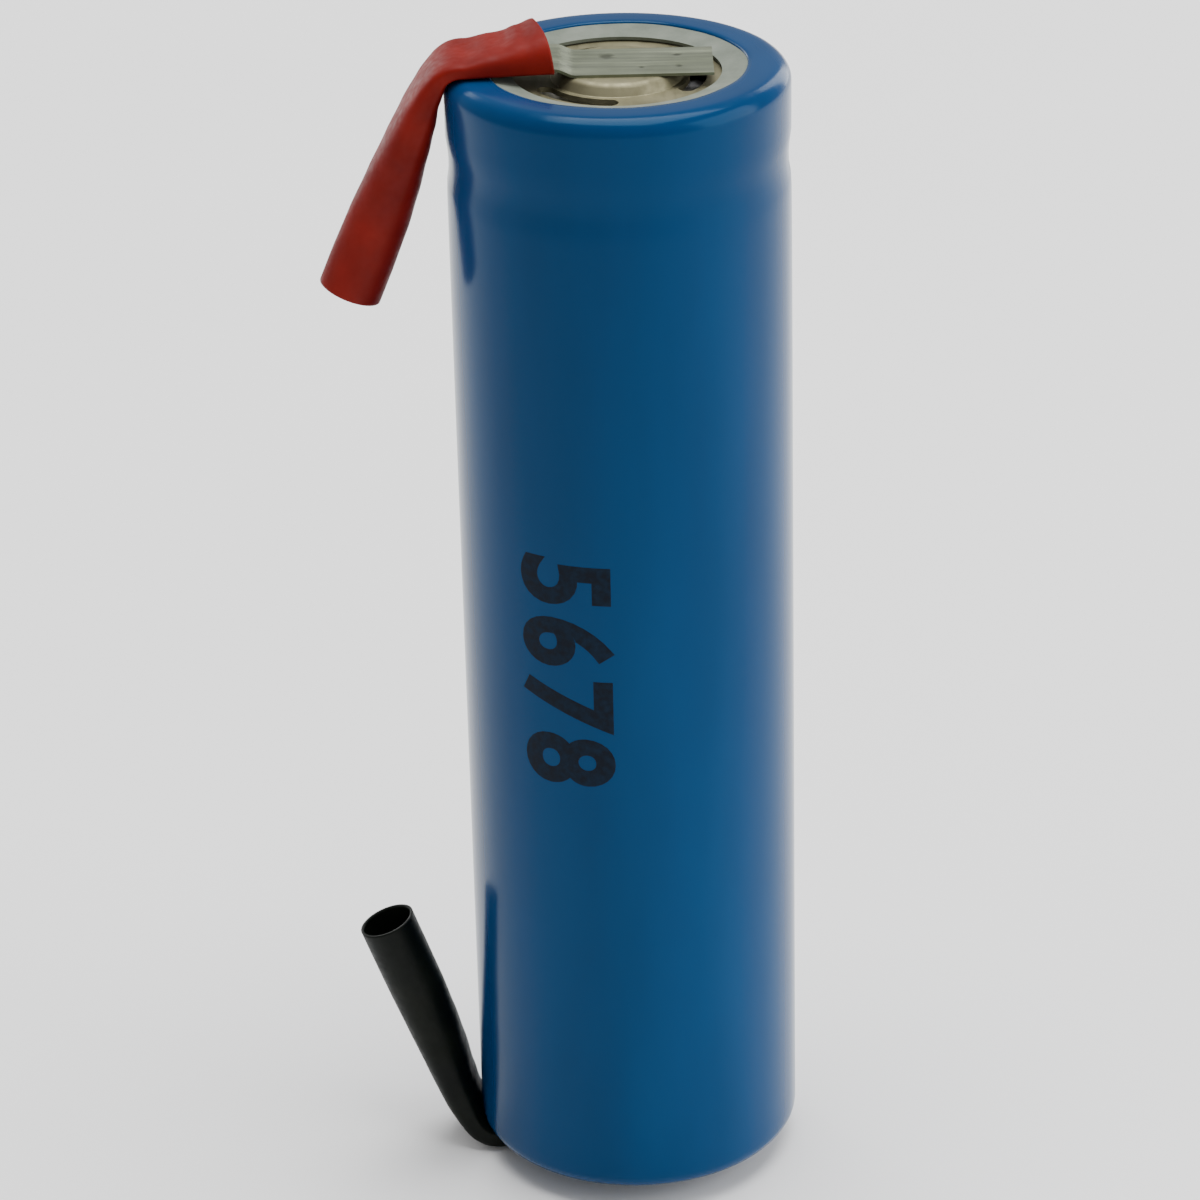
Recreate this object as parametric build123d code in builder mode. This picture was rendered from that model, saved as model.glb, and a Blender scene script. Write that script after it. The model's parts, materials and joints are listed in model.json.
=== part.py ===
"""Cylindrical lithium-ion cell, 18650 format, with two sleeved solder strips.

The frame stands the cell on its negative end: +Z runs up the cell's axis to the
positive end, and both solder strips leave along -X. The origin is the centre of the
negative strip's underside. All sizes are in millimetres.
"""
from build123d import *
from math import sqrt
import os

os.makedirs("parts", exist_ok=True)

# Whole cell
barrel_diameter = 18.5
cell_length = 64.7
film = 0.12
steel_wall = 0.25
corner_radius = 1.0
seat_gap = 0.03

# Negative end: the film curls under the can, the strip's weld pad sits inside the curl
strip_thickness = 0.15
strip_width = 4.2
base_curl_radius = 6.6

# Positive end
lip_radius = 6.9
lip_over_button = 0.06
crimp_radius = 7.3
bead_drop = 5.1
bead_height = 2.3
bead_depth = 1.1
film_dip = 0.14
washer_radius = 5.6
washer_thickness = 0.2
washer_dish = 0.3

# Header under the crimp
gasket_wall = 0.35
header_gap = 0.05
button_radius = 3.1
skirt_spread = 0.35
cap_thickness = 0.3
cap_step = 0.45
vent_count = 3
vent_angle = 56
vent_first_angle = 236
vent_width = 0.95
vent_margin = 0.4
ptc_thickness = 0.35
vent_disc_thickness = 0.25
insulator_thickness = 0.45
contact_plate_thickness = 0.3

# Winding
pin_diameter = 3.2
pin_wall = 0.2
winding_clearance = 0.35
cathode_thickness = 0.34
anode_thickness = 0.28
separator_thickness = 0.12
layer_gap = 0.03
sheet_margin = 0.8
tape_thickness = 0.06
end_disc_thickness = 0.2
end_disc_inset = 0.3
lead_width = 4.0
anode_lead_width = 3.0
lead_thickness = 0.1

# Sleeved solder strips
strip_reach = 5.1
pad_reach = 2.2
sleeve_start = 3.3
sleeve_wall = 0.16
sleeve_side_clearance = 0.29
sleeve_flat_top = 0.95
sleeve_flat_bottom = 0.35
sleeve_end_top = 1.95
mouth_length = 2.5
strip_tip_taper = 1.6
strip_tip_setback = 4.6
swing_setback = 1.6
positive_fold_turn = 60
positive_run_turn = 7.5
positive_run_radius = 20
positive_leg = 10.7
positive_mouth_radius = 1.74
negative_fold_turn = 57
negative_run_turn = 13
negative_run_radius = 12
negative_leg = 11.0
negative_mouth_radius = 1.62

# Heights and radii that follow
barrel_radius = barrel_diameter / 2
can_radius = barrel_radius - film
can_inner_radius = can_radius - steel_wall
base_z = strip_thickness
button_z = base_z + cell_length
lip_z = button_z + lip_over_button
curl_z = base_z - film
bead_z = lip_z - bead_drop
crimp_z = lip_z - film - washer_thickness
shelf_z = bead_z + bead_height / 2
fold_out = barrel_radius - corner_radius
fold_radius = corner_radius + seat_gap + sleeve_flat_bottom
run_rise = sleeve_flat_bottom + seat_gap
sleeve_flat_half_width = strip_width / 2 + sleeve_side_clearance + sleeve_wall
strip_tip_width = strip_width - strip_tip_taper


def shell_of_revolution(route, corner_radii, wall):
    """Turned sheet of even thickness whose middle follows `route`, a list of (r, z)."""
    with BuildPart() as shell:
        with BuildSketch(Plane.XZ):
            with BuildLine():
                FilletPolyline(*route, radius=corner_radii)
            trace(line_width=wall)
        revolve(axis=Axis.Z)
    return shell


def ring(inner_radius, outer_radius, low_z, height):
    """Flat ring, or a disc when the inner radius is zero."""
    with BuildPart() as flat_ring:
        with BuildSketch(Plane.XY.offset(low_z)):
            Circle(outer_radius)
            if inner_radius > 0:
                Circle(inner_radius, mode=Mode.SUBTRACT)
        extrude(amount=height)
    return flat_ring


def save(piece, label):
    """Name a finished piece and write its STEP file."""
    piece.part.label = label
    export_step(piece.part, f"parts/{label}.step")


# Shrink wrap: one sleeve of film that curls under the base and over the crimp
film_middle = barrel_radius - film / 2
bead_half = bead_height / 2
shrink_wrap = shell_of_revolution(
    [
        (base_curl_radius, curl_z + film / 2),
        (film_middle, curl_z + film / 2),
        (film_middle, bead_z - bead_half + 0.05),
        (film_middle - film_dip, bead_z - 0.4),
        (film_middle - film_dip, bead_z + 0.4),
        (film_middle, bead_z + bead_half - 0.05),
        (film_middle, lip_z - film / 2),
        (lip_radius, lip_z - film / 2),
    ],
    [corner_radius - film / 2, 2, 2, 2, 2, corner_radius - film / 2],
    film,
)
save(shrink_wrap, "shrink_wrap")

# Insulating washer: dished ring of fibre paper between the crimp and the film's lip
washer_outer_radius = can_radius - corner_radius - 0.2
washer_middle_z = crimp_z + washer_thickness / 2
top_washer = shell_of_revolution(
    [
        (washer_radius, washer_middle_z - washer_dish),
        (crimp_radius - 0.4, washer_middle_z),
        (washer_outer_radius, washer_middle_z),
    ],
    [1],
    washer_thickness,
)
save(top_washer, "top_washer")

# Steel can: deep-drawn cup with a rolled bead and a crimped rim
wall_middle = can_radius - steel_wall / 2
wall_corner = corner_radius - film - steel_wall / 2
crimp_middle_z = crimp_z - steel_wall / 2
steel_can = shell_of_revolution(
    [
        (0, base_z + steel_wall / 2),
        (wall_middle, base_z + steel_wall / 2),
        (wall_middle, bead_z - bead_half),
        (wall_middle - bead_depth, bead_z - bead_half * 0.35),
        (wall_middle - bead_depth, bead_z + bead_half * 0.35),
        (wall_middle, bead_z + bead_half),
        (wall_middle, crimp_middle_z),
        (crimp_radius, crimp_middle_z),
    ],
    [wall_corner, 0.5, 0.4, 0.4, 0.5, wall_corner],
    steel_wall,
)
save(steel_can, "steel_can")

# Crimp gasket: polypropylene cup that seals and insulates the header from the can
gasket_radius = can_inner_radius - seat_gap - gasket_wall / 2
gasket_floor_z = shelf_z + steel_wall / 2 + seat_gap + gasket_wall / 2
gasket_roof_z = crimp_middle_z - steel_wall / 2 - seat_gap - gasket_wall / 2
gasket_turn = wall_corner + gasket_wall / 2
crimp_gasket = shell_of_revolution(
    [
        (can_inner_radius - bead_depth - 0.4, gasket_floor_z),
        (gasket_radius, gasket_floor_z),
        (gasket_radius, gasket_roof_z),
        (crimp_radius, gasket_roof_z),
    ],
    [gasket_turn * 0.6, gasket_turn * 0.6],
    gasket_wall,
)
save(crimp_gasket, "crimp_gasket")

# Positive cap: pressed steel button on a seat pierced by three vent slots, then a lower rim
header_radius = gasket_radius - gasket_wall / 2 - header_gap
rim_gap = 0.6 * (0.6 * gasket_turn - gasket_wall / 2)
washer_inner_z = washer_middle_z - washer_dish - washer_thickness / 2
seat_middle_z = washer_inner_z - 2 * seat_gap - cap_thickness / 2
flange_middle_z = gasket_roof_z - gasket_wall / 2 - rim_gap - cap_thickness / 2
cap_middle_z = button_z - cap_thickness / 2
vent_radius = button_radius + skirt_spread + vent_margin + vent_width / 2
cap_step_radius = crimp_radius - cap_step
with BuildPart() as positive_cap:
    with BuildSketch(Plane.XZ):
        with BuildLine():
            FilletPolyline(
                (0, cap_middle_z),
                (button_radius, cap_middle_z),
                (button_radius + skirt_spread, seat_middle_z),
                (cap_step_radius - cap_step, seat_middle_z),
                (cap_step_radius, flange_middle_z),
                (header_radius, flange_middle_z),
                radius=[0.25, 0.2, 0.25, 0.25],
            )
        trace(line_width=cap_thickness)
    revolve(axis=Axis.Z)
    with BuildSketch(Plane.XY.offset(seat_middle_z)):
        with PolarLocations(0, vent_count, start_angle=vent_first_angle):
            SlotArc(CenterArc((0, 0), vent_radius, -vent_angle / 2, vent_angle), vent_width)
    extrude(amount=cap_thickness, both=True, mode=Mode.SUBTRACT)
save(positive_cap, "positive_cap")

# Header stack under the cap: PTC ring, vent disc, insulator and contact plate
flange_low_z = flange_middle_z - cap_thickness / 2
ptc_z = flange_low_z - ptc_thickness
ptc_ring = ring(vent_radius + vent_width, header_radius, ptc_z, ptc_thickness)
save(ptc_ring, "ptc_ring")

vent_rim_z = ptc_z - vent_disc_thickness / 2
vent_disc_dish = insulator_thickness - seat_gap
vent_dish_radius = button_radius * 0.7
vent_disc = shell_of_revolution(
    [
        (0, vent_rim_z - vent_disc_dish),
        (vent_dish_radius * 0.55, vent_rim_z - vent_disc_dish),
        (vent_dish_radius + 0.9, vent_rim_z),
        (header_radius, vent_rim_z),
    ],
    [0.4, 0.4],
    vent_disc_thickness,
)
save(vent_disc, "vent_disc")

insulator_z = ptc_z - vent_disc_thickness - insulator_thickness
cid_insulator_ring = ring(button_radius + skirt_spread, header_radius - 0.6, insulator_z, insulator_thickness)
save(cid_insulator_ring, "cid_insulator_ring")

plate_z = insulator_z - contact_plate_thickness
plate_radius = header_radius - 1.2
with BuildPart() as cid_contact_plate:
    with BuildSketch(Plane.XY.offset(plate_z)):
        Circle(plate_radius)
        with PolarLocations(plate_radius * 0.62, 6):
            Circle(0.6, mode=Mode.SUBTRACT)
    extrude(amount=contact_plate_thickness)
save(cid_contact_plate, "cid_contact_plate")

# End discs: fibre insulators above and below the winding
anode_lead_top_z = base_z + steel_wall + lead_thickness
lower_disc_z = anode_lead_top_z + seat_gap
winding_radius = can_inner_radius - winding_clearance
with BuildPart() as lower_insulator_disc:
    with BuildSketch(Plane.XY.offset(lower_disc_z)):
        Circle(winding_radius - end_disc_inset)
        Circle(pin_diameter / 2 - pin_wall, mode=Mode.SUBTRACT)
    extrude(amount=end_disc_thickness)
save(lower_insulator_disc, "lower_insulator_disc")

upper_disc_z = bead_z - bead_half - steel_wall - seat_gap - end_disc_thickness
cathode_lead_out = 4.4
with BuildPart() as upper_insulator_disc:
    with BuildSketch(Plane.XY.offset(upper_disc_z)):
        Circle(winding_radius - end_disc_inset)
        Circle(pin_diameter / 2, mode=Mode.SUBTRACT)
        with Locations((cathode_lead_out, 0)):
            Rectangle(lead_thickness * 4, lead_width + 1, mode=Mode.SUBTRACT)
    extrude(amount=end_disc_thickness)
save(upper_insulator_disc, "upper_insulator_disc")

# Centre pin: thin steel tube that keeps the winding's core open
winding_low_z = lower_disc_z + end_disc_thickness
winding_high_z = upper_disc_z
pin_margin = 0.4
centre_pin = ring(
    pin_diameter / 2 - pin_wall,
    pin_diameter / 2,
    winding_low_z + pin_margin,
    winding_high_z - winding_low_z - 2 * pin_margin,
)
save(centre_pin, "centre_pin")

# Winding: cathode, separator, anode, separator, rolled together in half turns
# The turns fill the room left by the pin; what a whole number leaves over slackens each layer
sheet_stack = cathode_thickness + anode_thickness + 2 * separator_thickness + 4 * layer_gap
first_radius = pin_diameter / 2 + 0.25
winding_room = winding_radius - tape_thickness - layer_gap - first_radius - sheet_stack / 4
winding_turns = int(winding_room / sheet_stack - 0.75)
turn_pitch = winding_room / (winding_turns + 0.75)
layer_slack = (turn_pitch - sheet_stack) / 4


def wound_sheet(offset, thickness, half_turns, low_z, height, first_half_turn=0):
    """Sheet rolled in half turns, its middle `offset` outside the winding's first radius."""
    with BuildPart() as sheet:
        with BuildSketch(Plane.XY.offset(low_z)):
            with BuildLine():
                for half_turn in range(first_half_turn, first_half_turn + half_turns):
                    side = half_turn % 2
                    centre = turn_pitch / 4 if side == 0 else -turn_pitch / 4
                    radius = first_radius + offset + turn_pitch * (half_turn + 0.5) / 2
                    CenterArc((centre, 0), radius, 180 * side, 180)
            trace(line_width=thickness)
        extrude(amount=height)
    return sheet


sheet_low_z = winding_low_z + sheet_margin
sheet_height = winding_high_z - winding_low_z - 2 * sheet_margin
half_turns = 2 * winding_turns
layer_offset = 0
layers = [
    ("separator_inner", separator_thickness, 0.5),
    ("cathode_sheet", cathode_thickness, 1.0),
    ("separator_outer", separator_thickness, 0.5),
    ("anode_sheet", anode_thickness, 0.8),
]
for label, thickness, margin_share in layers:
    layer_offset += thickness / 2
    margin = sheet_margin * margin_share
    sheet = wound_sheet(
        layer_offset,
        thickness,
        half_turns,
        winding_low_z + margin,
        winding_high_z - winding_low_z - 2 * margin,
    )
    save(sheet, label)
    layer_offset += thickness / 2 + layer_gap + layer_slack

tape_offset = layer_offset - layer_slack + tape_thickness / 2
winding_tape = wound_sheet(
    tape_offset,
    tape_thickness,
    1,
    sheet_low_z,
    sheet_height,
    first_half_turn=half_turns - 1,
)
save(winding_tape, "winding_tape")

# Cathode lead: aluminium strip from the winding up to the contact plate
with BuildPart() as cathode_lead:
    with BuildSketch(Plane.XZ):
        with BuildLine():
            FilletPolyline(
                (cathode_lead_out, winding_high_z - sheet_margin / 2 + layer_gap),
                (cathode_lead_out, plate_z - lead_thickness / 2),
                (-1.5, plate_z - lead_thickness / 2),
                radius=0.6,
            )
        trace(line_width=lead_thickness)
    extrude(amount=lead_width / 2, both=True)
save(cathode_lead, "cathode_lead")

# Anode lead: nickel strip from the outside of the winding to the middle of the can's floor
anode_lead_chord = sqrt(can_inner_radius**2 - (anode_lead_width / 2) ** 2)
anode_lead_out = anode_lead_chord - seat_gap - lead_thickness / 2
with BuildPart() as anode_lead:
    with BuildSketch(Plane.XZ):
        with BuildLine():
            FilletPolyline(
                (-1.5, base_z + steel_wall + lead_thickness / 2),
                (anode_lead_out, base_z + steel_wall + lead_thickness / 2),
                (anode_lead_out, base_z + cell_length * 0.3),
                radius=wall_corner - steel_wall / 2,
            )
        trace(line_width=lead_thickness)
    extrude(amount=anode_lead_width / 2, both=True)
save(anode_lead, "anode_lead")


def oval(plane, half_width, top, bottom, inset=0.0):
    """Sleeve outline: a taller half away from the cell and a flatter half towards it."""
    with BuildSketch(plane) as outline:
        with BuildLine():
            EllipticalCenterArc((0, 0), half_width - inset, top - inset, 0, arc_size=180)
            EllipticalCenterArc((0, 0), half_width - inset, bottom - inset, 180, arc_size=180)
        make_face()
    return outline.sketch


def strip_along(edges):
    """Flat strip, full width, whose middle follows edges in the leads' plane."""
    with BuildPart() as strip:
        with BuildSketch(Plane.XZ):
            trace([Plane.XZ.to_local_coords(edge) for edge in edges], strip_thickness)
        extrude(amount=strip_width / 2, both=True)
    return strip


def make_lead(polarity, away, end_z, pad_z, fold_turn, run_turn, run_radius, leg, end_top, mouth_radius):
    """Solder strip and its sleeve, from the weld pad round the can's corner to the mouth.

    `away` is +1 at the positive end and -1 at the negative end, and `end_z` is the face
    of the film that the sleeve lies against.
    """
    spine_z = end_z + away * run_rise
    heading = (-1, 0, 0)
    with BuildLine(Plane.XZ) as pad_route:
        FilletPolyline(
            (strip_reach, pad_z),
            (-pad_reach, pad_z),
            (-sleeve_start, spine_z),
            (-fold_out, spine_z),
            radius=1.0,
        )
    with BuildLine(Plane.XZ) as fold_route:
        corner = JernArc((-fold_out, spine_z), heading, fold_radius, away * fold_turn)
        run = JernArc(corner @ 1, corner % 1, run_radius, away * run_turn)
        setback = Line(run @ 1, run @ 1 + (run % 1) * swing_setback)
    leg_heading = setback % 1
    leg_start = setback @ 1
    swing_length = leg - swing_setback

    def station(point, direction):
        return Plane(origin=point, x_dir=(0, -away, 0), z_dir=direction)

    save(strip_along(pad_route.line.edges()), f"{polarity}_strip")
    save(strip_along(fold_route.line.edges()), f"{polarity}_strip_fold")

    # Free end of the strip: tapers to a narrow rounded tip inside the sleeve
    tip_reach = swing_length - strip_tip_setback
    tail_plane = Plane(origin=leg_start, x_dir=leg_heading, z_dir=Vector(0, 1, 0).cross(leg_heading))
    with BuildPart() as strip_tail:
        with BuildSketch(tail_plane):
            with BuildLine():
                Polyline(
                    (0, strip_width / 2),
                    (0, -strip_width / 2),
                    (tip_reach, -strip_tip_width / 2),
                    (tip_reach, strip_tip_width / 2),
                    close=True,
                )
            make_face()
        extrude(amount=strip_thickness / 2, both=True)
        thin_edges = strip_tail.edges().filter_by(Axis(leg_start, tail_plane.z_dir))
        fillet(thin_edges.sort_by(Axis(leg_start, leg_heading))[-2:], 0.6)
    save(strip_tail, f"{polarity}_strip_tail")

    # Sleeve, three lengths: over the strip, round the corner, and the free leg
    flat = (sleeve_flat_half_width, sleeve_flat_top, sleeve_flat_bottom)
    flared = (sleeve_flat_half_width - 0.05, end_top, sleeve_flat_bottom)
    swing = (sleeve_flat_half_width - 0.25, 1.25, 0.85)
    half_swung = (sleeve_flat_half_width - 0.1, 1.05, 0.55)
    round_mouth = (mouth_radius, mouth_radius, mouth_radius)
    start_plane = station((-sleeve_start, 0, spine_z), heading)
    fold_plane = station((-fold_out, 0, spine_z), heading)
    corner_plane = station(corner @ 1, corner % 1)
    run_plane = station(run @ 1, run % 1)
    leg_plane = station(leg_start, leg_heading)
    mouth_start = leg_start + leg_heading * (swing_length - mouth_length)
    mouth_plane = station(mouth_start, leg_heading)
    fold_axis = Axis((-fold_out, 0, spine_z - away * fold_radius), (0, -away, 0))

    with BuildPart() as sleeve_end:
        loft(sections=[oval(start_plane, *flared), oval(fold_plane, *flat)])
        loft(
            sections=[
                oval(start_plane, *flared, inset=sleeve_wall),
                oval(fold_plane, *flat, inset=sleeve_wall),
            ],
            mode=Mode.SUBTRACT,
        )
    save(sleeve_end, f"{polarity}_sleeve_end")

    with BuildPart() as sleeve_fold:
        for inset, mode in ((0.0, Mode.ADD), (sleeve_wall, Mode.SUBTRACT)):
            revolve(oval(fold_plane, *flat, inset=inset), fold_axis, fold_turn, mode=mode)
            loft(
                sections=[
                    oval(corner_plane, *flat, inset=inset),
                    oval(run_plane, *half_swung, inset=inset),
                    oval(leg_plane, *swing, inset=inset),
                ],
                mode=mode,
            )
    save(sleeve_fold, f"{polarity}_sleeve_fold")

    with BuildPart() as sleeve_tail:
        for inset, mode in ((0.0, Mode.ADD), (sleeve_wall, Mode.SUBTRACT)):
            loft(
                sections=[
                    oval(leg_plane, *swing, inset=inset),
                    oval(mouth_plane, *round_mouth, inset=inset),
                ],
                mode=mode,
            )
        with BuildSketch(mouth_plane):
            Circle(mouth_radius)
            Circle(mouth_radius - sleeve_wall, mode=Mode.SUBTRACT)
        extrude(amount=mouth_length)
    save(sleeve_tail, f"{polarity}_sleeve_tail")

    # Straight-line meeting point of the two runs: where the lead swings
    mouth = leg_start + leg_heading * swing_length
    meeting = leg_start - leg_heading * ((leg_start.Z - spine_z) / leg_heading.Z)
    print(polarity, "swing axis", meeting, "mouth", mouth, "heading", leg_heading)


make_lead(
    "positive",
    1,
    lip_z,
    button_z + strip_thickness / 2,
    positive_fold_turn,
    positive_run_turn,
    positive_run_radius,
    positive_leg,
    sleeve_end_top,
    positive_mouth_radius,
)
make_lead(
    "negative",
    -1,
    curl_z,
    base_z - strip_thickness / 2,
    negative_fold_turn,
    negative_run_turn,
    negative_run_radius,
    negative_leg,
    sleeve_flat_top,
    negative_mouth_radius,
)
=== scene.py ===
import bmesh
import bpy
import json
import math
from mathutils import Matrix, Vector


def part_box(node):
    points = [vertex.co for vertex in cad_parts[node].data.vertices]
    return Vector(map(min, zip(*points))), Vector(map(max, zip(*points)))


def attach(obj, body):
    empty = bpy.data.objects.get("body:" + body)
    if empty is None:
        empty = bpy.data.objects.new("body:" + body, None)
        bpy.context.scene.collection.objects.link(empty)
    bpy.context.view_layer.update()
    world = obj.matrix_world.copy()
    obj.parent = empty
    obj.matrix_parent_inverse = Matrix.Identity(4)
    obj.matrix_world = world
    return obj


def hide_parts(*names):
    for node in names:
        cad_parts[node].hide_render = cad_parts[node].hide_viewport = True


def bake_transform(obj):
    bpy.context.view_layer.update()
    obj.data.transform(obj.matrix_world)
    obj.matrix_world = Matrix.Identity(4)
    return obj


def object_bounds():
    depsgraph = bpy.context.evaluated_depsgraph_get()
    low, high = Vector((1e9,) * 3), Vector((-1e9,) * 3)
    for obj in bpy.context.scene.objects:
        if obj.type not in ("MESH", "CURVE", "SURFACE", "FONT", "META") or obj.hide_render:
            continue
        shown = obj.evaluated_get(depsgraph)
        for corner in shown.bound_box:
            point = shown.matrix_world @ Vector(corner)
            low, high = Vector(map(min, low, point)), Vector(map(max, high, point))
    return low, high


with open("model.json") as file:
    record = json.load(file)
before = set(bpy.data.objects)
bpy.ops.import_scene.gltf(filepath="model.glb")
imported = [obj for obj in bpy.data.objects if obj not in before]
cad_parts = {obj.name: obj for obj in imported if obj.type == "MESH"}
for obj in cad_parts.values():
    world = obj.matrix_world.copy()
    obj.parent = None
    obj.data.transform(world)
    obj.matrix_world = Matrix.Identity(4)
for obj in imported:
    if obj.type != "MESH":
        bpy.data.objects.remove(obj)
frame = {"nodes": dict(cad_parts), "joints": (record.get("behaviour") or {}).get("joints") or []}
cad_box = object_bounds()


# ---------------------------------------------------------------- shrink wrap
# One sleeve of blue PVC film, shrunk hard on to the steel can. It curls under the
# base, sinks a little into the rolled bead and ends in a lip over the crimp.

MM = 0.001


def deselect_all():
    """Leave nothing selected, so that the next operator acts on its own piece only."""
    if bpy.context.mode != "OBJECT":
        bpy.ops.object.mode_set(mode="OBJECT")
    bpy.ops.object.select_all(action="DESELECT")


def select_only(piece):
    """Make one piece the selected and active one."""
    deselect_all()
    piece.select_set(True)
    bpy.context.view_layer.objects.active = piece


def apply_modifier(piece, kind, **settings):
    """Add one modifier, set it and apply it."""
    select_only(piece)
    modifier = piece.modifiers.new(kind.title(), kind)
    for key, value in settings.items():
        setattr(modifier, key, value)
    bpy.ops.object.modifier_apply(modifier=modifier.name)


def start_ring(name, count, points):
    """Circle of `count` vertices in edit mode, its vertices set to `points`."""
    deselect_all()
    bpy.ops.mesh.primitive_circle_add(vertices=count, radius=MM, fill_type="NOTHING")
    piece = bpy.context.object
    piece.name = name
    piece.data.name = name
    bpy.ops.object.mode_set(mode="EDIT")
    bpy.ops.mesh.select_all(action="SELECT")
    place_selected(piece, points)
    return piece


def place_selected(piece, points):
    """Put the selected loop's vertices, taken in their own order, on `points`."""
    mesh = bmesh.from_edit_mesh(piece.data)
    loop = [vertex for vertex in mesh.verts if vertex.select]
    for vertex, point in zip(loop, points):
        vertex.co = point
    bmesh.update_edit_mesh(piece.data)


def draw_out(piece, points):
    """Extrude the selected loop and move the new one on to `points`."""
    bpy.ops.mesh.extrude_region_move()
    place_selected(piece, points)


def close_piece(piece, smooth_angle):
    """Back to object mode with normals outwards and smooth shading below an angle."""
    bpy.ops.mesh.select_all(action="SELECT")
    bpy.ops.mesh.remove_doubles(threshold=MM * 0.0005)
    bpy.ops.mesh.normals_make_consistent(inside=False)
    bpy.ops.object.mode_set(mode="OBJECT")
    select_only(piece)
    bpy.ops.object.shade_smooth_by_angle(angle=math.radians(smooth_angle))


def finish_material(name, colour, roughness, metallic=0.0):
    """New node material: its Principled shader, Object coordinates and node tree."""
    material = bpy.data.materials.new(name)
    material.use_nodes = True
    tree = material.node_tree
    shader = tree.nodes["Principled BSDF"]
    shader.inputs["Base Color"].default_value = (*colour, 1)
    shader.inputs["Roughness"].default_value = roughness
    shader.inputs["Metallic"].default_value = metallic
    place = tree.nodes.new("ShaderNodeTexCoord")
    return material, tree, shader, place.outputs["Object"]


def noise(tree, source, scale, detail, stretch=(1, 1, 1)):
    """Noise at `scale` cells a metre, stretched by a mapping."""
    mapping = tree.nodes.new("ShaderNodeMapping")
    mapping.inputs["Scale"].default_value = stretch
    tree.links.new(source, mapping.inputs["Vector"])
    texture = tree.nodes.new("ShaderNodeTexNoise")
    texture.inputs["Scale"].default_value = scale
    texture.inputs["Detail"].default_value = detail
    tree.links.new(mapping.outputs["Vector"], texture.inputs["Vector"])
    return texture.outputs["Fac"]


def ramp(tree, source, stops):
    """Colour ramp over a value; `stops` are (position, colour) pairs."""
    node = tree.nodes.new("ShaderNodeValToRGB")
    elements = node.color_ramp.elements
    while len(elements) < len(stops):
        elements.new(0.5)
    for element, (position, colour) in zip(elements, stops):
        element.position = position
        element.color = (*colour, 1)
    tree.links.new(source, node.inputs["Fac"])
    return node.outputs["Color"]


def spread(tree, source, low, high, from_low=0.3, from_high=0.7):
    """A value remapped to run from `low` to `high`."""
    node = tree.nodes.new("ShaderNodeMapRange")
    node.inputs["From Min"].default_value = from_low
    node.inputs["From Max"].default_value = from_high
    node.inputs["To Min"].default_value = low
    node.inputs["To Max"].default_value = high
    tree.links.new(source, node.inputs["Value"])
    return node.outputs["Result"]


def bump(tree, shader, layers):
    """Chain of bumps; `layers` are (height value, depth in metres, strength)."""
    last = None
    for height, depth, strength in layers:
        node = tree.nodes.new("ShaderNodeBump")
        node.inputs["Strength"].default_value = strength
        node.inputs["Distance"].default_value = depth
        tree.links.new(height, node.inputs["Height"])
        if last is not None:
            tree.links.new(last, node.inputs["Normal"])
        last = node.outputs["Normal"]
    tree.links.new(last, shader.inputs["Normal"])


def dress(piece, material):
    """Give a piece one material."""
    piece.data.materials.clear()
    piece.data.materials.append(material)


wrap_low, wrap_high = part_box("shrink_wrap")
wrap_radius = wrap_high.x
film_thickness = 0.12 * MM
corner = 1.0 * MM
corner_steps = 8
barrel_rings = 96
around = 192
curl_radius = 6.6 * MM
curl_lift = 0.06 * MM
curl_step = 0.4 * MM
lip_radius = 6.9 * MM
lip_step = 0.3 * MM
lip_depth = 0.3 * MM
lip_band = 0.4 * MM
lip_waver = 0.035 * MM
lip_roll = [(0.09, 0.02), (0.02, 0.08), (0.0, 0.16), (0.01, 0.24)]  # millimetres out and down
bead_z = wrap_high.z - 5.1 * MM
bead_half = 1.25 * MM
bead_flat = 0.75
bead_edge = 9
film_dip = 0.13 * MM
wrinkle_depth = 0.014 * MM
wrinkle_fade = 2.4 * MM


def wrap_outline():
    """(radius, height) up the outside of the film, from the base curl to the lip."""
    outline = [(curl_radius, wrap_low.z + curl_lift), (curl_radius + 2 * curl_lift, wrap_low.z)]
    outline += [(curl_radius + step * curl_step, wrap_low.z) for step in range(1, 4)]
    low, high = wrap_low.z + corner, wrap_high.z - corner
    quarter = [math.radians(90 * step / corner_steps) for step in range(corner_steps + 1)]
    for turn in quarter:
        outline.append((wrap_radius - corner + corner * math.sin(turn), low - corner * math.cos(turn)))
    for step in range(1, barrel_rings):
        outline.append((wrap_radius, low + (high - low) * step / barrel_rings))
    for turn in quarter:
        outline.append((wrap_radius - corner + corner * math.cos(turn), high + corner * math.sin(turn)))
    outline += [(lip_radius + step * lip_step, wrap_high.z) for step in (3, 2, 1)]
    outline += [(lip_radius + out * MM, wrap_high.z - down * MM) for out, down in lip_roll]
    return outline


def film_point(radius, height, angle):
    """Point on the film: it sinks at the bead and is a hair out of round, as shrunk film is."""
    if radius > wrap_radius - 0.01 * MM:
        nearness = abs(height - bead_z) / bead_half
        sink = film_dip / (1 + math.exp(-(bead_flat - nearness) * bead_edge))
        ripple = math.sin(3 * angle + 0.7) + 0.6 * math.sin(7 * angle + 2.1)
        near_bead = math.exp(-abs(height - bead_z) / wrinkle_fade)
        sink += wrinkle_depth * near_bead * (ripple + 1.6)
        radius -= sink
    if height > wrap_high.z - lip_depth and radius < lip_radius + lip_band:
        radius += lip_waver * (math.sin(5 * angle + 1.0) + 0.5 * math.sin(11 * angle))
    return Vector((radius * math.cos(angle), radius * math.sin(angle), height))


def film_ring(radius, height):
    """One ring of the film."""
    return [film_point(radius, height, 2 * math.pi * step / around) for step in range(around)]


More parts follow.
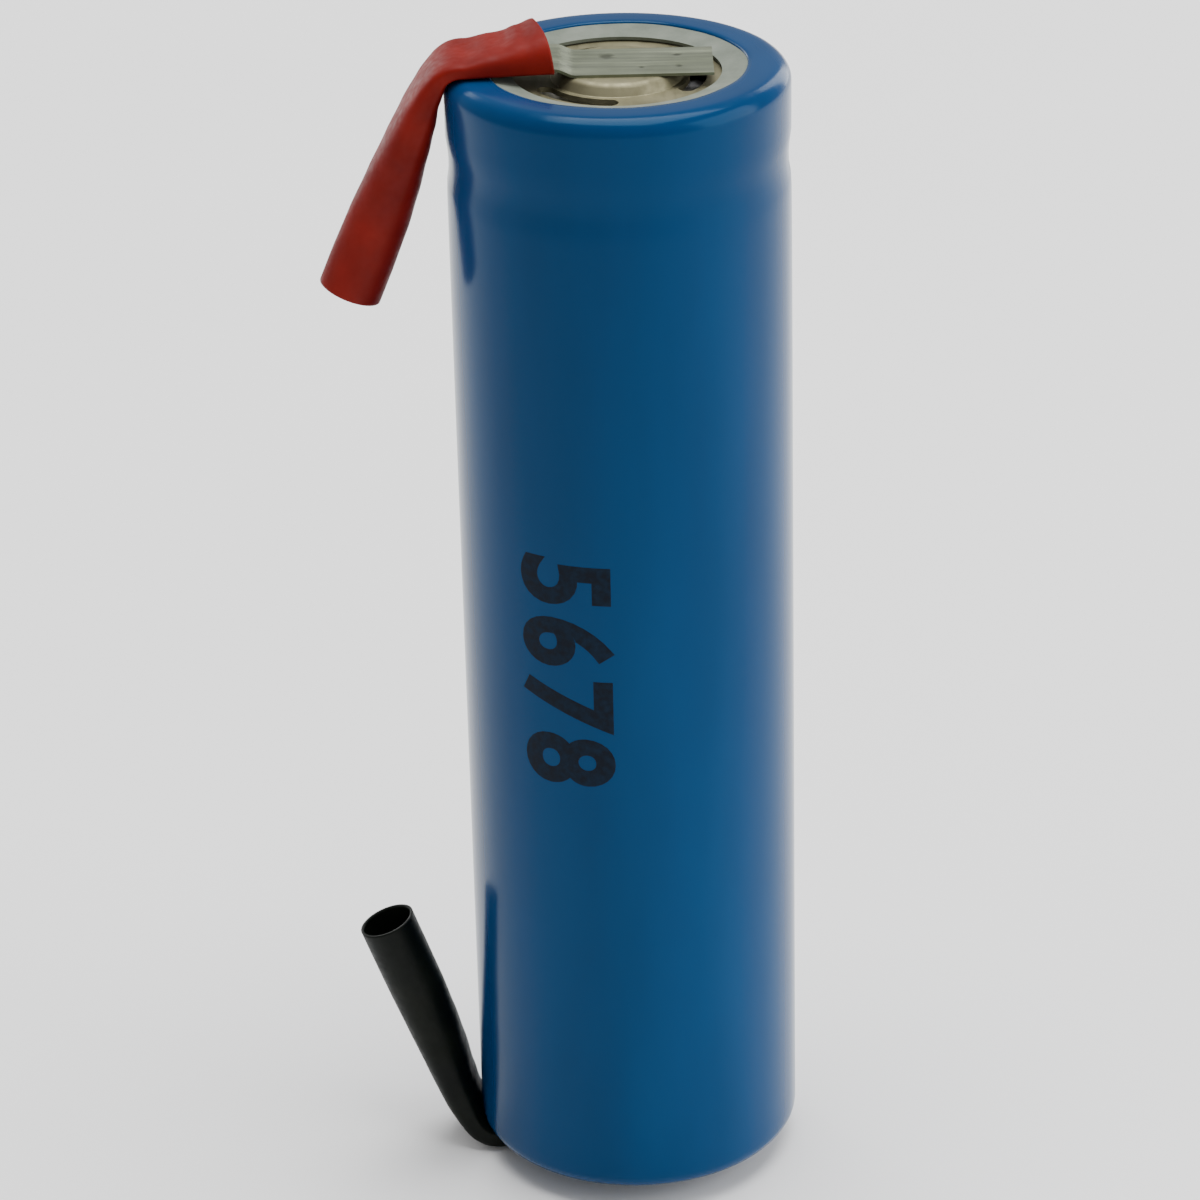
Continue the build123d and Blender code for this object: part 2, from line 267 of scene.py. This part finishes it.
outline = wrap_outline()
blue_wrap = start_ring("blue_wrap", around, film_ring(*outline[0]))
for radius, height in outline[1:]:
    draw_out(blue_wrap, film_ring(radius, height))
close_piece(blue_wrap, 50)
apply_modifier(blue_wrap, "SOLIDIFY", thickness=film_thickness, offset=-1)

film_blue, tree, shader, place = finish_material("blue_film", (0.0, 0.045, 0.16), 0.2)
cloud = noise(tree, place, 90, 4, (1, 1, 0.25))
streak = noise(tree, place, 900, 2, (1, 1, 0.03))
blues = [(0.3, (0.0, 0.027, 0.092)), (0.55, (0.0, 0.035, 0.116)), (0.75, (0.0003, 0.045, 0.142))]
tree.links.new(ramp(tree, cloud, blues), shader.inputs["Base Color"])
tree.links.new(spread(tree, streak, 0.14, 0.22), shader.inputs["Roughness"])
shader.inputs["Specular IOR Level"].default_value = 0.16
shader.inputs["Specular Tint"].default_value = (0.42, 0.80, 1.0, 1)
waves = noise(tree, place, 260, 2, (1, 1, 0.15))
grain = noise(tree, place, 5200, 2)
bump(tree, shader, [(waves, 0.03 * MM, 0.2), (grain, 0.003 * MM, 0.1)])
dress(blue_wrap, film_blue)
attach(blue_wrap, "root")
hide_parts("shrink_wrap")


# ---------------------------------------------------------------- printed number
# A plain four-figure number, pad-printed on the film in near-black ink. It reads
# down the barrel, with the tops of the figures to the right.

deselect_all()
bpy.ops.object.text_add()
number = bpy.context.object
number.name = "printed_number"
number.data.body = "5678"
number.data.size = 1
number.data.offset = 0.03
number.data.space_character = 1.16
number.data.resolution_u = 6
bpy.ops.object.convert(target="MESH")
number.data.name = "printed_number"
across = [vertex.co.x for vertex in number.data.vertices]
upright = [vertex.co.y for vertex in number.data.vertices]
figures_low = Vector((min(across), min(upright)))
figures_high = Vector((max(across), max(upright)))
print_height = 5.5 * MM
print_length = 13.7 * MM
print_top_z = wrap_low.z + 39.9 * MM
print_angle = math.radians(-90 - 22.3)
print_bands = 14
ink_thickness = 0.012 * MM
bpy.ops.object.mode_set(mode="EDIT")
bpy.ops.mesh.select_all(action="SELECT")
bpy.ops.mesh.quads_convert_to_tris()
for band in range(1, print_bands):
    bpy.ops.mesh.select_all(action="SELECT")
    level = figures_low.y + (figures_high.y - figures_low.y) * band / print_bands
    bpy.ops.mesh.bisect(plane_co=(0, level, 0), plane_no=(0, 1, 0))
bpy.ops.object.mode_set(mode="OBJECT")
ink_radius = wrap_radius + ink_thickness / 2
for vertex in number.data.vertices:
    along = (vertex.co.x - figures_low.x) / (figures_high.x - figures_low.x)
    up = (vertex.co.y - figures_low.y) / (figures_high.y - figures_low.y) - 0.5
    angle = print_angle + up * print_height / wrap_radius
    vertex.co = (
        ink_radius * math.cos(angle),
        ink_radius * math.sin(angle),
        print_top_z - along * print_length,
    )
apply_modifier(number, "SOLIDIFY", thickness=ink_thickness, offset=-1)
select_only(number)
bpy.ops.object.shade_smooth_by_angle(angle=math.radians(40))
ink, tree, shader, place = finish_material("black_ink", (0.003, 0.006, 0.012), 0.6)
shader.inputs["Specular IOR Level"].default_value = 0.1
blotch = noise(tree, place, 2600, 4)
inks = [(0.35, (0.0015, 0.004, 0.010)), (0.7, (0.004, 0.012, 0.026))]
tree.links.new(ramp(tree, blotch, inks), shader.inputs["Base Color"])
tree.links.new(spread(tree, blotch, 0.5, 0.7), shader.inputs["Roughness"])
bump(tree, shader, [(blotch, 0.003 * MM, 0.2)])
dress(number, ink)
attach(number, "root")


# ---------------------------------------------------------------- can, cap and header
# Deep-drawn nickel-plated steel can, crimped over a polypropylene gasket that holds
# the pressed button cap, the PTC ring, the vent disc and the contact plate.

def metal(name, dark, light, roughness, stretch, grain=2200):
    """Bare or plated sheet metal with drawing marks, stains and handling scratches."""
    material, tree, shader, place = finish_material(name, light, roughness, 1.0)
    stain = noise(tree, place, 420, 5)
    marks = noise(tree, place, grain, 3, stretch)
    tree.links.new(ramp(tree, stain, [(0.3, dark), (0.72, light)]), shader.inputs["Base Color"])
    tree.links.new(spread(tree, marks, roughness - 0.08, roughness + 0.12), shader.inputs["Roughness"])
    bump(tree, shader, [(marks, 0.008 * MM, 0.35), (stain, 0.02 * MM, 0.2)])
    return material


def sheet_stock(name, dark, light, roughness, grain, depth):
    """Paper, plastic or coated sheet: mottled colour with a fine surface grain."""
    material, tree, shader, place = finish_material(name, light, roughness)
    mottle = noise(tree, place, 700, 5)
    fibres = noise(tree, place, grain, 3)
    tree.links.new(ramp(tree, mottle, [(0.3, dark), (0.7, light)]), shader.inputs["Base Color"])
    tree.links.new(spread(tree, fibres, roughness - 0.08, roughness + 0.08), shader.inputs["Roughness"])
    bump(tree, shader, [(fibres, depth, 0.5)])
    return material


plated_steel = metal("plated_steel", (0.30, 0.30, 0.27), (0.44, 0.44, 0.40), 0.34, (1, 1, 0.05))
cap_steel = metal("cap_steel", (0.16, 0.15, 0.09), (0.28, 0.26, 0.165), 0.58, (1, 0.15, 1))
aluminium = metal("aluminium_sheet", (0.60, 0.60, 0.61), (0.78, 0.78, 0.79), 0.36, (1, 0.1, 1))
fibre = sheet_stock("fibre_paper", (0.12, 0.14, 0.11), (0.18, 0.20, 0.165), 0.8, 6000, 0.02 * MM)
gasket_plastic = sheet_stock(
    "gasket_plastic", (0.62, 0.62, 0.60), (0.78, 0.78, 0.76), 0.45, 3000, 0.01 * MM
)
ptc_polymer = sheet_stock("ptc_polymer", (0.02, 0.02, 0.02), (0.05, 0.05, 0.05), 0.5, 4000, 0.01 * MM)
finishes = {
    "steel_can": plated_steel,
    "centre_pin": plated_steel,
    "positive_cap": cap_steel,
    "top_washer": fibre,
    "lower_insulator_disc": fibre,
    "upper_insulator_disc": fibre,
    "crimp_gasket": gasket_plastic,
    "cid_insulator_ring": gasket_plastic,
    "ptc_ring": ptc_polymer,
    "vent_disc": aluminium,
    "cid_contact_plate": aluminium,
    "cathode_lead": aluminium,
}


# ---------------------------------------------------------------- winding
# Coated aluminium and copper foils with two porous separators between them, rolled
# round the centre pin and held by a turn of polyimide tape.

cathode_coat = sheet_stock(
    "cathode_coat", (0.012, 0.012, 0.014), (0.035, 0.035, 0.038), 0.75, 9000, 0.01 * MM
)
anode_coat = sheet_stock("anode_coat", (0.025, 0.02, 0.018), (0.06, 0.045, 0.038), 0.6, 9000, 0.01 * MM)
separator_film = sheet_stock(
    "separator_film", (0.72, 0.72, 0.70), (0.86, 0.86, 0.84), 0.5, 7000, 0.006 * MM
)
tape_film = sheet_stock("tape_film", (0.36, 0.22, 0.03), (0.48, 0.30, 0.05), 0.3, 2500, 0.006 * MM)
finishes["cathode_sheet"] = cathode_coat
finishes["anode_sheet"] = anode_coat
finishes["separator_inner"] = separator_film
finishes["separator_outer"] = separator_film
finishes["winding_tape"] = tape_film


# ---------------------------------------------------------------- solder strips
# One length of rolled nickel at each end, spot-welded to the cell, stepped up into
# its sleeve, bent round the can's corner and narrowed to a tip for soldering.

nickel = metal("nickel_strip", (0.22, 0.245, 0.17), (0.31, 0.34, 0.25), 0.38, (0.04, 1, 1), 3000)


def scorch(material, spots):
    """Darken round patches of a metal where the welding electrodes pressed on it."""
    tree = material.node_tree
    shader = tree.nodes["Principled BSDF"]
    place = next(node for node in tree.nodes if node.type == "TEX_COORD").outputs["Object"]
    colour = shader.inputs["Base Color"].links[0].from_socket
    ragged = noise(tree, place, 2400, 4, (0.5, 1, 1))
    for centre, radius in spots:
        gap = tree.nodes.new("ShaderNodeVectorMath")
        gap.operation = "DISTANCE"
        gap.inputs[1].default_value = centre
        tree.links.new(place, gap.inputs[0])
        edge = tree.nodes.new("ShaderNodeMath")
        edge.operation = "MULTIPLY"
        tree.links.new(gap.outputs["Value"], edge.inputs[0])
        tree.links.new(spread(tree, ragged, 0.55, 1.6), edge.inputs[1])
        mix = tree.nodes.new("ShaderNodeMix")
        mix.data_type = "RGBA"
        mix.inputs[7].default_value = (0.05, 0.055, 0.035, 1)
        burn = spread(tree, edge.outputs["Value"], 0.75, 0.0, radius * 0.35, radius)
        tree.links.new(burn, mix.inputs[0])
        tree.links.new(colour, mix.inputs[6])
        colour = mix.outputs[2]
    tree.links.new(colour, shader.inputs["Base Color"])


nodes = frame["nodes"]
joints = {joint["name"]: joint for joint in frame["joints"]}
strip_half_width = 2.1 * MM
strip_thickness = 0.15 * MM
strip_across = 24
tip_half_width = 1.3 * MM
tip_setback = 4.6 * MM
pad_reach = 2.2 * MM
pad_steps = 40
rise_steps = 10
strip_reach = 5.1 * MM
fold_radius = 1.38 * MM
swing_setback = 1.6 * MM
step_length = 0.12 * MM
dent_depth = 0.045 * MM
dent_radius = 0.34 * MM
weld_marks = [  # x, y and the radius of the scorched patch
    (-0.6 * MM, 0.95 * MM, 0.55 * MM),
    (3.2 * MM, 1.0 * MM, 0.3 * MM),
    (1.3 * MM, -0.9 * MM, 0.25 * MM),
    (3.3 * MM, -0.8 * MM, 0.25 * MM),
]
pad_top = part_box("positive_cap")[1].z + strip_thickness
scorch(nickel, [((x, y, pad_top), radius) for x, y, radius in weld_marks])
finishes["anode_lead"] = nickel
for node, material in finishes.items():
    dress(nodes[node], material)

ends = {
    "positive": {"away": 1, "turn": 60, "run_turn": 7.5, "run_radius": 20 * MM, "leg": 10.7 * MM},
    "negative": {"away": -1, "turn": 57, "run_turn": 13, "run_radius": 12 * MM, "leg": 11.0 * MM},
}


def walk(point, heading, length, turn, away):
    """Small equal steps along a straight or an arc; heading 0 leads outwards along -X."""
    count = max(2, round(length / step_length))
    stations = []
    for _ in range(count):
        middle = heading + turn / count / 2
        chord = length / count
        point = point + chord * Vector((-math.cos(middle), 0, -away * math.sin(middle)))
        heading += turn / count
        stations.append((point, heading))
    return stations


def lead_stations(polarity):
    """Route from the sleeve's start to its mouth, as (distance, point, heading) rows."""
    end = ends[polarity]
    low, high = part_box(f"{polarity}_sleeve_end")
    spine_z = joints[f"{polarity}_lead_bend"]["pos_m"][2]
    start = Vector((high.x, 0, spine_z))
    turn = math.radians(end["turn"])
    run_turn = math.radians(end["run_turn"])
    stations = [(start, 0.0)]
    stations += walk(start, 0.0, high.x - low.x, 0.0, end["away"])
    fold_at = len(stations) - 1
    stations += walk(stations[-1][0], 0.0, fold_radius * turn, turn, end["away"])
    run_length = end["run_radius"] * abs(run_turn)
    stations += walk(stations[-1][0], turn, run_length, run_turn, end["away"])
    stations += walk(stations[-1][0], turn + run_turn, swing_setback, 0.0, end["away"])
    swing_at = len(stations) - 1
    stations += walk(stations[-1][0], turn + run_turn, end["leg"] - swing_setback, 0.0, end["away"])
    distance = 0.0
    rows = []
    last = stations[0][0]
    for point, heading in stations:
        distance += (point - last).length
        rows.append((distance, point, heading))
        last = point
    return rows, stations[fold_at][0], stations[swing_at][0]


def outward(heading, away):
    """Direction away from the cell, square to the route."""
    return Vector((-math.sin(heading), 0, away * math.cos(heading)))


def ease(share):
    """Smooth rise from 0 to 1, level at both ends."""
    return share * share * (3 - 2 * share)


def make_strip(polarity):
    """Flat strip drawn out from its square end, across the weld pad, to its tip."""
    end = ends[polarity]
    away = end["away"]
    rows, fold_point, swing_point = lead_stations(polarity)
    pad_low, pad_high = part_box(f"{polarity}_strip")
    pad_z = pad_high.z if away < 0 else pad_low.z
    pad_z += away * strip_thickness / 2
    spine_z = rows[0][1].z
    sections = []
    for step in range(pad_steps + 1):
        x = strip_reach - (strip_reach + pad_reach) * step / pad_steps
        sections.append((Vector((x, 0, pad_z)), 0.0, strip_half_width))
    ramp_length = rows[0][1].x + pad_reach
    for step in range(1, rise_steps):
        share = step / rise_steps
        slope = 6 * share * (1 - share) * (spine_z - pad_z) * away / abs(ramp_length)
        point = Vector((-pad_reach + ramp_length * share, 0, pad_z + (spine_z - pad_z) * ease(share)))
        sections.append((point, -math.atan(slope), strip_half_width))
    swing_distance = min(row[0] for row in rows if (row[1] - swing_point).length < 0.01 * MM)
    tip_distance = swing_distance + end["leg"] - swing_setback - tip_setback
    for distance, point, heading in rows:
        if distance > tip_distance:
            break
        share = max(0.0, (distance - swing_distance) / (tip_distance - swing_distance))
        half_width = strip_half_width + (tip_half_width - strip_half_width) * share
        sections.append((point, heading, half_width))

    def section_points(point, heading, half_width):
        side = outward(heading, away) * strip_thickness / 2
        ys = [-half_width + 2 * half_width * step / strip_across for step in range(strip_across + 1)]
        points = [point + side + Vector((0, y, 0)) for y in ys]
        points += [point - side + Vector((0, y, 0)) for y in reversed(ys)]
        return points

    count = 2 * (strip_across + 1)
    strip = start_ring(f"{polarity}_nickel", count, section_points(*sections[0]))
    bpy.ops.mesh.edge_face_add()
    for section in sections[1:]:
        draw_out(strip, section_points(*section))
    mesh = bmesh.from_edit_mesh(strip.data)
    for vertex in mesh.verts:
        if vertex.co.x < -pad_reach:
            continue
        for x, y, _ in weld_marks:
            gap = math.hypot(vertex.co.x - x, vertex.co.y - y)
            vertex.co.z -= away * dent_depth * math.exp(-((gap / dent_radius) ** 2))
    bmesh.update_edit_mesh(strip.data)
    close_piece(strip, 35)
    dress(strip, nickel)
    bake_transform(strip)
    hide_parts(f"{polarity}_strip", f"{polarity}_strip_fold", f"{polarity}_strip_tail")


make_strip("positive")
make_strip("negative")


# ---------------------------------------------------------------- sleeves
# Thin heat-shrink tubes slid over the strips, red at the positive end and black at
# the negative end. The strip holds each one flat; past its tip it opens out round.

sleeve_wall = 0.16 * MM
ring_count = 64
lean_length = 2.6 * MM
ripple_height = 0.012
ripple_length = 1.7 * MM
# Each row: distance along the sleeve, half width, outer height and inner depth in
# millimetres, then squareness, where 2 is an oval and more is nearer a flat box.
sleeve_forms = {
    "positive": [
        (0.0, 2.36, 1.95, 0.35, 2.7),
        (1.5, 2.40, 1.55, 0.35, 3.0),
        (3.4, 2.48, 0.98, 0.35, 3.8),
        (4.8, 2.54, 0.58, 0.35, 4.6),
        (5.8, 2.55, 0.60, 0.37, 4.6),
        (7.4, 2.52, 0.88, 0.62, 4.0),
        (9.0, 2.44, 1.10, 0.98, 3.2),
        (10.8, 2.34, 1.30, 1.22, 2.7),
        (13.0, 2.06, 1.52, 1.48, 2.3),
        (15.2, 1.84, 1.68, 1.66, 2.05),
        (18.0, 1.74, 1.74, 1.74, 2.0),
    ],
    "negative": [
        (0.0, 2.46, 0.95, 0.35, 3.6),
        (4.4, 2.52, 0.92, 0.35, 4.6),
        (5.4, 2.55, 0.95, 0.35, 4.6),
        (6.6, 2.50, 1.05, 0.42, 4.0),
        (8.4, 2.42, 1.20, 0.85, 3.2),
        (10.8, 2.34, 1.36, 1.20, 2.6),
        (13.0, 1.98, 1.52, 1.44, 2.2),
        (15.5, 1.68, 1.61, 1.59, 2.0),
        (18.0, 1.62, 1.62, 1.62, 2.0),
    ],
}


def form_at(form, distance):
    """Half width, outer height, inner depth and squareness of a sleeve at a distance."""
    millimetres = distance / MM
    for (low, *before), (high, *after) in zip(form, form[1:]):
        if millimetres <= high:
            share = (millimetres - low) / (high - low)
            share = ease(share) * 0.6 + share * 0.4
            return [a + (b - a) * share for a, b in zip(before, after)]
    return form[-1][1:]


def make_sleeve(polarity, skew):
    """Tube drawn out ring by ring along its strip; `skew` leans the cut at its start."""
    away = ends[polarity]["away"]
    rows, fold_point, swing_point = lead_stations(polarity)

    def ring_points(distance, point, heading):
        half_width, top, bottom, square = form_at(sleeve_forms[polarity], distance)
        up = outward(heading, away)
        along = Vector((-math.cos(heading), 0, -away * math.sin(heading)))
        lean = skew * max(0.0, 1 - distance / lean_length)
        points = []
        for step in range(ring_count):
            turn = 2 * math.pi * step / ring_count
            across, rise = math.cos(turn), math.sin(turn)
            reach = (abs(across) ** square + abs(rise) ** square) ** (-1 / square)
            depth = top if rise > 0 else bottom
            side = across * reach
            sway = ripple_height * math.sin(distance / ripple_length + 2 * turn) * abs(rise)
            offset = up * (depth * rise * reach + sway) * MM + Vector((0, half_width * side * MM, 0))
            points.append(point + offset + along * lean * (side + 1 + 0.35 * max(rise, 0)) / 2)
        return points

    sleeve = start_ring(f"{polarity}_tube", ring_count, ring_points(*rows[0]))
    for row in rows[1:]:
        draw_out(sleeve, ring_points(*row))
    close_piece(sleeve, 60)
    apply_modifier(sleeve, "SOLIDIFY", thickness=sleeve_wall, offset=-1)
    return sleeve, fold_point, swing_point


def sleeve_plastic(name, dark, middle, light, roughness):
    """Satin heat-shrink tube: cloudy colour, fine drawn lines and a faint orange peel."""
    material, tree, shader, place = finish_material(name, middle, roughness)
    cloud = noise(tree, place, 380, 4)
    peel = noise(tree, place, 2600, 3)
    tint = ramp(tree, cloud, [(0.28, dark), (0.5, middle), (0.75, light)])
    tree.links.new(tint, shader.inputs["Base Color"])
    tree.links.new(spread(tree, peel, roughness - 0.07, roughness + 0.1), shader.inputs["Roughness"])
    shader.inputs["Specular IOR Level"].default_value = 0.12
    bump(tree, shader, [(cloud, 0.02 * MM, 0.2), (peel, 0.008 * MM, 0.3)])
    return material


tube_finishes = {
    "positive": sleeve_plastic(
        "red_sleeve", (0.115, 0.0035, 0.0018), (0.155, 0.006, 0.003), (0.20, 0.0095, 0.005), 0.5
    ),
    "negative": sleeve_plastic(
        "black_sleeve", (0.0015, 0.0025, 0.0018), (0.003, 0.0045, 0.003), (0.006, 0.0075, 0.0045), 0.45
    ),
}
for polarity, skew in (("positive", 1.25 * MM), ("negative", 0.4 * MM)):
    sleeve, fold_point, swing_point = make_sleeve(polarity, skew)
    dress(sleeve, tube_finishes[polarity])
    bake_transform(sleeve)
    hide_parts(f"{polarity}_sleeve_end", f"{polarity}_sleeve_fold", f"{polarity}_sleeve_tail")


# ---------------------------------------------------------------- floor, lights and camera
# A plain pale floor and soft studio light all round, with the camera above and in front.

floor_gap = 0.02 * MM
deselect_all()
bpy.ops.mesh.primitive_plane_add(size=3, location=(0, 0, cad_box[0][2] - floor_gap))
floor = bpy.context.object
floor.name = "floor"
pale, tree, shader, place = finish_material("pale_floor", (0.9, 0.9, 0.9), 0.7)
greys = [(0.3, (0.88, 0.88, 0.88)), (0.7, (0.91, 0.91, 0.91))]
tree.links.new(ramp(tree, noise(tree, place, 12, 2), greys), shader.inputs["Base Color"])
dress(floor, pale)

world = bpy.data.worlds.new("studio")
bpy.context.scene.world = world
world.use_nodes = True
world.node_tree.nodes["Background"].inputs["Color"].default_value = (1, 1, 1, 1)
world.node_tree.nodes["Background"].inputs["Strength"].default_value = 0.5


def soft_light(name, place, target, width, height, power):
    """Area light aimed at a point."""
    light = bpy.data.lights.new(name, "AREA")
    light.shape = "RECTANGLE"
    light.size = width
    light.size_y = height
    light.energy = power
    lamp = bpy.data.objects.new(name, light)
    bpy.context.scene.collection.objects.link(lamp)
    lamp.location = place
    lamp.rotation_euler = (Vector(target) - Vector(place)).to_track_quat("-Z", "Y").to_euler()


middle = (0, 0, (wrap_low.z + wrap_high.z) / 2)
soft_light("overhead", (0.05, 0.1, 0.95), middle, 0.8, 0.8, 14)
soft_light("right_side", (0.55, -0.12, 0.25), middle, 0.5, 0.5, 3)
soft_light("back_right", (0.32, 0.52, 0.2), middle, 0.2, 0.5, 1.2)
soft_light("back_left", (-0.32, 0.52, 0.2), middle, 0.2, 0.5, 1.0)

tilt = math.radians(90 - 25.777)
roll = -0.02424
camera_data = bpy.data.cameras.new("camera")
camera_data.sensor_width = 36
camera_data.lens = 135.53
camera_data.clip_start = 0.01
camera = bpy.data.objects.new("camera", camera_data)
bpy.context.scene.collection.objects.link(camera)
camera.location = (-1.581 * MM, -227.92 * MM, 143.42 * MM)
camera.rotation_euler = (Matrix.Rotation(tilt, 3, "X") @ Matrix.Rotation(roll, 3, "Z")).to_euler()
bpy.context.scene.camera = camera
